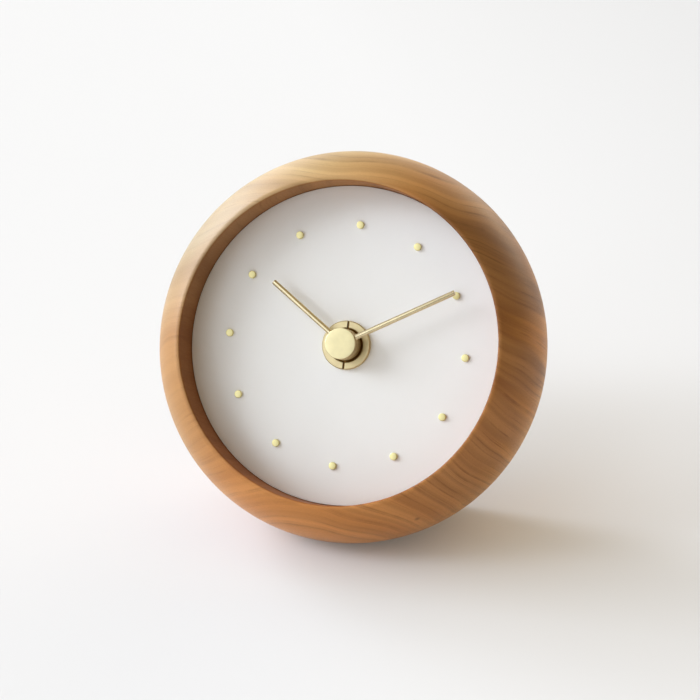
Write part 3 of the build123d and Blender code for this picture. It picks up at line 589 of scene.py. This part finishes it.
# The movement's housing: two moulded black shells, the lid snapped over the tray from behind, with an
# opening for the cell. The lid has a raised border, rings about the knob and the middle, and the cell's
# plus and minus marks.
LID_BACK, LID_HALF, LID_CORNER, MOULD_SUNK = -18.0, 28.0, 6.0, 0.2
BORDER_INSET, BORDER_WIDE, BORDER_RISE = 0.75, 0.7, 0.35
KNOB_MIDDLE, KNOB_RADIUS = (-19.60, 2.03), 6.0
KNOB_RING_GAP, KNOB_RING_WIDE, KNOB_RING_RISE = 1.6, 0.8, 0.4
MIDDLE_RING_RADIUS, MIDDLE_RING_WIDE, MIDDLE_RING_RISE = 3.4, 0.7, 0.3
MARK_ACROSS, MARK_UP, MARK_LONG, MARK_WIDE, MARK_RISE, MARK_SLOPE = 22.0, -7.6, 3.2, 0.7, 0.3, 0.1


def moulded(name, dark, light, roughness):
    """Moulded plastic with a spark-eroded grain, paler where it is rubbed."""
    plastic = Finish(name)
    spot = plastic.place()
    grain = plastic.noise(spot, 4.0, 3.0, 0.6)
    rub = plastic.noise(spot, 0.12, 3.0)
    plastic.give(
        Base_Color=plastic.ramp(rub, (0.35, dark), (0.75, light)),
        Roughness=plastic.span(grain, 0.3, 0.7, roughness - 0.06, roughness + 0.08),
    )
    plastic.bump(grain, 0.2, 0.04)
    return plastic.material


def rounded_square(half, corner, steps):
    """Closed outline of a square with round corners: at each of its four corners, a quarter circle of the
    corner's radius about a middle that far in. Returns it with the outward direction at each point."""
    turn = np.radians(np.arange(4)[:, None] * 90 + np.linspace(0, 90, steps)).reshape(-1)
    outwards = np.stack([np.cos(turn), np.sin(turn)], axis=1)
    side = np.stack([np.repeat([1, -1, -1, 1], steps), np.repeat([1, 1, -1, -1], steps)], axis=1)
    return (half - corner) * side + corner * outwards, outwards


def circle(middle, radius, steps):
    """Closed round outline, middle plus radius times (cosine, sine), with its outward directions."""
    turn = np.linspace(0, 2 * np.pi, steps, endpoint=False)
    outwards = np.stack([np.cos(turn), np.sin(turn)], axis=1)
    return np.asarray(middle) + radius * outwards, outwards


def ridge(outline, outwards, width, rise):
    """Low rounded bead on the lid: a cross-section of (aside, in) rows carried round a closed outline, each
    row aside along the outward direction and in from the lid's back."""
    half = width / 2
    section = np.array([
        (-half, MOULD_SUNK), (-half, -0.5 * rise), (-0.5 * half, -rise),
        (0.5 * half, -rise), (half, -0.5 * rise), (half, MOULD_SUNK),
    ])
    points = np.concatenate([
        outline[:, None, :] + section[None, :, :1] * outwards[:, None, :],
        np.broadcast_to(LID_BACK + section[None, :, 1:], (len(outline), len(section), 1)),
    ], axis=2)
    index = np.arange(points.shape[0] * points.shape[1]).reshape(points.shape[:2])
    ahead, beside = np.roll(index, -1, axis=0), np.roll(index, -1, axis=1)
    loop = np.stack([index, ahead, np.roll(ahead, -1, axis=1), beside], axis=2)
    return points.reshape(-1, 3), loop.reshape(-1, 4).tolist()


def bar(middle, wide, high):
    """Moulded bar on the lid: the four corners of a rectangle sunk in the lid, and the same four raised
    and drawn in by the slope."""
    corner = np.array([(-1, -1), (1, -1), (1, 1), (-1, 1)]) / 2 * (wide, high)
    top = corner - MARK_SLOPE * np.sign(corner)
    sunk, risen = np.full((4, 1), LID_BACK + MOULD_SUNK), np.full((4, 1), LID_BACK - MARK_RISE)
    points = np.concatenate([np.hstack([corner + middle, sunk]), np.hstack([top + middle, risen])])
    sides = [[i, (i + 1) % 4, 4 + (i + 1) % 4, 4 + i] for i in range(4)]
    return points, [[0, 1, 2, 3], [4, 5, 6, 7]] + sides


border = rounded_square(LID_HALF - BORDER_INSET, LID_CORNER - BORDER_INSET, steps=12)
knob_ring = circle(KNOB_MIDDLE, KNOB_RADIUS + KNOB_RING_GAP, steps=72)
middle_ring = circle((0.0, 0.0), MIDDLE_RING_RADIUS, steps=48)
points, faces = joined(
    ridge(*border, BORDER_WIDE, BORDER_RISE),
    ridge(*knob_ring, KNOB_RING_WIDE, KNOB_RING_RISE),
    ridge(*middle_ring, MIDDLE_RING_WIDE, MIDDLE_RING_RISE),
    bar((MARK_ACROSS, MARK_UP), MARK_LONG, MARK_WIDE),
    bar((MARK_ACROSS, MARK_UP), MARK_WIDE, MARK_LONG),
    bar((-MARK_ACROSS, MARK_UP), MARK_LONG, MARK_WIDE),
)
black_plastic = moulded("black_plastic", (0.022, 0.022, 0.024), (0.042, 0.042, 0.044), 0.5)
mouldings = piece("lid_mouldings", from_dial(points), faces)
mouldings.data.materials.append(black_plastic)
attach(mouldings, "case")
dressed(black_plastic, "movement_front_case", "movement_rear_case")

# The setting knob: a moulded black knob with a fluted side and a dished end, for finger and thumb. Its
# socket is pressed on the setting shaft, which comes out through the lid. The dish is rows of radius and
# depth.
KNOB_FRONT, KNOB_BACK, KNOB_ROUNDING, KNOB_BREAK, KNOB_SIDE = -18.3, -22.3, 0.5, 0.2, 1.2
DISH = ((0.0, 0.35), (3.6, 0.35), (4.2, 0.05), (4.5, 0.0))
FLUTES, FLUTE_DEPTH, FLUTE_STEPS, FADE_START, FADE_WIDTH = 24, 0.42, 10, 0.9, 0.7
SHAFT_RADIUS, SOCKET_DEPTH = 1.4, 2.7
socket_end = KNOB_FRONT - SOCKET_DEPTH
side_heights = np.linspace(KNOB_BACK + KNOB_SIDE, KNOB_FRONT - KNOB_BREAK, 4)
knob_profile = np.concatenate([
    [(radius, KNOB_BACK + depth) for radius, depth in DISH],
    bend((KNOB_RADIUS - KNOB_ROUNDING, KNOB_BACK + KNOB_ROUNDING), KNOB_ROUNDING, -90, 0, steps=6),
    np.stack([np.full(side_heights.size, KNOB_RADIUS), side_heights], axis=1),
    [(KNOB_RADIUS - KNOB_BREAK, KNOB_FRONT), (SHAFT_RADIUS, KNOB_FRONT)],
    [(SHAFT_RADIUS, socket_end), (0.0, socket_end)],
])


def fluted(points):
    """Draw the knob's side in by the flute depth times the cube of half one plus the cosine of the flutes'
    count times the angle, full on the side and fading out inside it."""
    radius = np.hypot(points[:, 0], points[:, 1])
    angle = np.arctan2(points[:, 1], points[:, 0])
    wave = ((1 + np.cos(FLUTES * angle)) / 2) ** 3
    share = np.clip((radius - KNOB_RADIUS + FADE_START) / FADE_WIDTH, 0, 1)
    scale = 1 - FLUTE_DEPTH * wave * share / np.maximum(radius, 1e-9)
    return points * np.stack([scale, scale, np.ones_like(scale)], axis=1)


points, faces = turned(knob_profile, steps=FLUTES * FLUTE_STEPS)
knob = piece("fluted_knob", from_dial(fluted(points) + (*KNOB_MIDDLE, 0.0)), faces)
knob.data.materials.append(moulded("knob_plastic", (0.026, 0.026, 0.028), (0.050, 0.050, 0.052), 0.42))
stands_for(knob, "setting_body", "black_plastic", "setting_knob")

# The cell: one plain AA cell, a drawn steel can in a shrunk sleeve, lying across the movement between
# its two contacts. Its steel ends show inside the sleeve's rolled lips: foot and shoulder are rows of
# radius and depth.
CELL_RADIUS, CELL_HALF, CELL_UP, CELL_OUT = 7.25, 25.25, -18.75, -12.7
CELL_LIP, LIP_DEPTH, LIP_SPAN = 0.65, 0.1, 2.0
NUB_RADIUS, NUB_HEIGHT, NUB_EDGE = 2.75, 1.2, 0.35
FOOT = ((0.0, 0.0), (4.7, 0.0), (4.95, 0.2), (5.7, 0.3))
SHOULDER = ((5.6, 0.3), (3.2, 0.2), (NUB_RADIUS, 0.0))
BAND_LENGTH, STEEL_RADIUS = 9.1, 5.9
SLEEVE_DARK, SLEEVE_LIGHT, BAND_BLACK = (0.235, 0.24, 0.245), (0.255, 0.26, 0.265), (0.035, 0.037, 0.040)
BARE_STEEL = (0.62, 0.62, 0.61)
lip_radius, can_end = CELL_RADIUS - CELL_LIP, CELL_HALF - NUB_HEIGHT
can_lengths = np.linspace(LIP_SPAN - CELL_HALF, can_end - LIP_SPAN, 8)
cell_profile = np.concatenate([
    [(radius, depth - CELL_HALF) for radius, depth in FOOT],
    bend((lip_radius, LIP_DEPTH + CELL_LIP - CELL_HALF), CELL_LIP, -150, 0, steps=10),
    np.stack([np.full(can_lengths.size, CELL_RADIUS), can_lengths], axis=1),
    bend((lip_radius, can_end - CELL_LIP), CELL_LIP, 0, 150, steps=10),
    [(radius, can_end - depth) for radius, depth in SHOULDER],
    bend((NUB_RADIUS - NUB_EDGE, CELL_HALF - NUB_EDGE), NUB_EDGE, 0, 90, steps=5),
    [(0.0, CELL_HALF)],
])


def sleeved_steel():
    """Satin grey sleeve with a dark band at the nub's end, and bare steel inside the lips."""
    cell = Finish("sleeved_steel")
    spot = cell.place()
    aside = cell.vector("SUBTRACT", spot, (0.0, CELL_UP, CELL_OUT))
    radius = cell.vector("LENGTH", cell.vector("MULTIPLY", aside, (0.0, 1.0, 1.0)))
    scuff = cell.noise(spot, 1.2, 4.0, 0.6)
    sleeve = cell.ramp(scuff, (0.3, SLEEVE_DARK), (0.7, SLEEVE_LIGHT))
    band_start = can_end - BAND_LENGTH
    band = cell.rise(cell.coordinate(spot, "X"), band_start, band_start + 0.1)
    sleeve = cell.tint(sleeve, band, BAND_BLACK, "MIX")
    steel = cell.fall(radius, STEEL_RADIUS, STEEL_RADIUS + 0.05)
    cell.give(
        Base_Color=cell.tint(sleeve, steel, BARE_STEEL, "MIX"),
        Metallic=steel,
        Roughness=cell.span(scuff, 0.3, 0.7, 0.20, 0.28),
    )
    cell.bump(scuff, 0.05, 0.01)
    return cell.material


points, faces = turned(cell_profile, steps=96)
laid = np.stack([points[:, 2], points[:, 0] + CELL_UP, points[:, 1] + CELL_OUT], axis=1)
cell = piece("sleeved_cell", from_dial(laid), faces)
cell.data.materials.append(sleeved_steel())
stands_for(cell, "case", "cell_can", "battery_cell")

# The gears, their plate, the setting shaft and the bobbin: pale acetal mouldings, hidden in the housing.
# The minute arbor, its clutch washer and the cell's contacts are brass.
dressed(
    moulded("gear_plastic", (0.66, 0.64, 0.58), (0.76, 0.75, 0.70), 0.4),
    "hour_wheel", "minute_wheel", "centre_wheel", "third_wheel", "seconds_wheel", "fifth_wheel",
    "rotor_pinion", "setting_shaft", "train_plate", "coil_bobbin",
)
dressed(bush_brass, "minute_arbor", "clutch_washer", "positive_contact", "negative_contact")


# The motor and the board: a stamped iron stator and core, a copper coil and a moulded magnet, beside a
# small board that carries a chip and a crystal in a drawn steel can. The housing hides them too.
def plain_metal(name, dark, light, roughness):
    """Bare metal with a mottled tone and fine scratches."""
    metal = Finish(name, Metallic=1.0)
    spot = metal.place()
    mottle = metal.noise(spot, 0.8, 4.0)
    metal.give(
        Base_Color=metal.ramp(mottle, (0.3, dark), (0.7, light)),
        Roughness=metal.span(mottle, 0.3, 0.7, roughness + 0.06, roughness - 0.05),
    )
    metal.bump(metal.noise(spot, 8.0), 0.1, 0.01)
    return metal.material


dressed(plain_metal("soft_iron", (0.36, 0.36, 0.37), (0.50, 0.50, 0.51), 0.42), "stator", "coil_core")
dressed(plain_metal("magnet_grey", (0.12, 0.12, 0.13), (0.20, 0.20, 0.21), 0.45), "rotor_magnet")
dressed(plain_metal("copper_wire", (0.50, 0.20, 0.08), (0.66, 0.30, 0.14), 0.3), "coil_winding")
dressed(plain_metal("crystal_steel", (0.58, 0.58, 0.59), (0.70, 0.70, 0.71), 0.25), "quartz_crystal")
dressed(moulded("board_green", (0.035, 0.16, 0.07), (0.055, 0.22, 0.10), 0.4), "circuit_board")
dressed(moulded("chip_black", (0.015, 0.015, 0.016), (0.030, 0.030, 0.031), 0.35), "ic_chip")

# The table: a plain pale top without an edge, in metres. The light is that of a pale room by day, with
# windows round the left, white cards in front, walls behind and a warm ceiling on the right: each is a
# glow about one direction, given by its azimuth and rise in degrees, power, strength and colour.
# The dim white is a painted falloff of the light towards the right.
FLOOR_HALF, TABLE_WHITE, TABLE_FALLOFF_WHITE = 30.0, 0.685, 0.612
TABLE_LIFT, LIFT_COLOUR = 0.10, (1.0, 0.92, 0.79)
ROOM_BASE, WARM, PLAIN, DAY = 0.12, (1.10, 0.86, 0.44), (1.05, 0.96, 0.80), (0.930, 1.010, 1.150)
GLOWS = {
    "wall behind left": (129, 7, 24, 3.6, DAY),
    "window behind left": (150, 27, 60, 13.5, DAY),
    "window on the left": (180, 14, 16, 9.3, DAY),
    "window before left": (210, 32, 60, 10.5, DAY),
    "low card in front": (245, 8, 60, 3.0, DAY),
    "card in front": (250, 30, 16, 1.15, DAY),
    "high card in front": (240, 50, 30, 1.45, DAY),
    "wall behind": (80, 36, 16, 0.3, PLAIN),
    "wall behind right": (68, 5, 10, 3.0, PLAIN),
    "ceiling on the left": (160, 62, 16, 0.9, DAY),
    "ceiling on the right": (10, 62, 6, 0.55, WARM),
}


def pale_table():
    """Off-white top, dimmer far to the right, a painted falloff of the light, and lifted a little where
    seen directly or in a reflection.
    """
    table = Finish("pale_table", Roughness=0.9, Specular_IOR_Level=0.05, Emission_Color=LIFT_COLOUR)
    spot = table.add("TexCoord").outputs["Object"]
    away = table.vector("DOT_PRODUCT", spot, (0.35, 0.2, 0.0))
    path = table.add("LightPath").outputs
    seen = table.math("MAXIMUM", path["Is Camera Ray"], path["Is Glossy Ray"])
    seen = table.math("MAXIMUM", seen, path["Is Transmission Ray"])
    table.give(
        Base_Color=table.span(away, 0.04, 0.10, TABLE_WHITE, TABLE_FALLOFF_WHITE),
        Emission_Strength=table.math("MULTIPLY", seen, TABLE_LIFT),
    )
    return table.material


def pale_room():
    """World light: an even base, plus for each glow its strength and colour times the cosine of the angle
    from its middle, raised to its power."""
    world = bpy.data.worlds.new("pale_room")
    world.use_nodes = True
    room = Nodes(world.node_tree)
    direction = room.add("TexCoord").outputs["Generated"]
    total = np.multiply(WARM, ROOM_BASE)
    for label, (azimuth, rise, power, strength, colour) in GLOWS.items():
        turn, lift = math.radians(azimuth), math.radians(rise)
        middle = (math.cos(lift) * math.cos(turn), math.cos(lift) * math.sin(turn), math.sin(lift))
        cosine = room.vector("DOT_PRODUCT", direction, middle, label=label)
        glow = room.math("POWER", room.math("MAXIMUM", cosine, 0.0), power)
        total = room.vector("ADD", room.vector("MULTIPLY", glow, np.multiply(colour, strength)), total)
    room.join(total, room.tree.nodes["Background"].inputs["Color"])
    return world


corners = FLOOR_HALF * np.array([(-1, -1, 0), (1, -1, 0), (1, 1, 0), (-1, 1, 0)], float)
floor = piece("table_top", corners, [[0, 1, 2, 3]])
floor.data.materials.append(pale_table())
bpy.context.scene.world = pale_room()

# The camera: a long lens in front of the clock and above it, a little to the right, fitted to the rim and
# the hour pins. Its distance and aim are in metres from the dial's middle.
CAMERA_AZIMUTH, CAMERA_RISE, CAMERA_DISTANCE = math.radians(14.06), math.radians(25.78), 0.8435
LENS, SENSOR, AIM_RIGHT, AIM_UP = 155.97, 36.0, 0.000884, -0.0013
towards_camera = Vector((
    math.sin(CAMERA_AZIMUTH) * math.cos(CAMERA_RISE),
    -math.cos(CAMERA_AZIMUTH) * math.cos(CAMERA_RISE),
    math.sin(CAMERA_RISE),
))
right = Vector((math.cos(CAMERA_AZIMUTH), math.sin(CAMERA_AZIMUTH), 0.0))
up = towards_camera.cross(right)
middle = Vector(dial_middle / 1000)
aim = middle + AIM_RIGHT * right + AIM_UP * up
lens = bpy.data.cameras.new("camera")
lens.lens = LENS
lens.sensor_width = SENSOR
camera = bpy.data.objects.new("camera", lens)
camera.location = middle + CAMERA_DISTANCE * towards_camera
camera.rotation_euler = (aim - camera.location).to_track_quat("-Z", "Y").to_euler()
bpy.context.scene.collection.objects.link(camera)
bpy.context.scene.camera = camera
bpy.context.scene.view_settings.view_transform = "Standard"
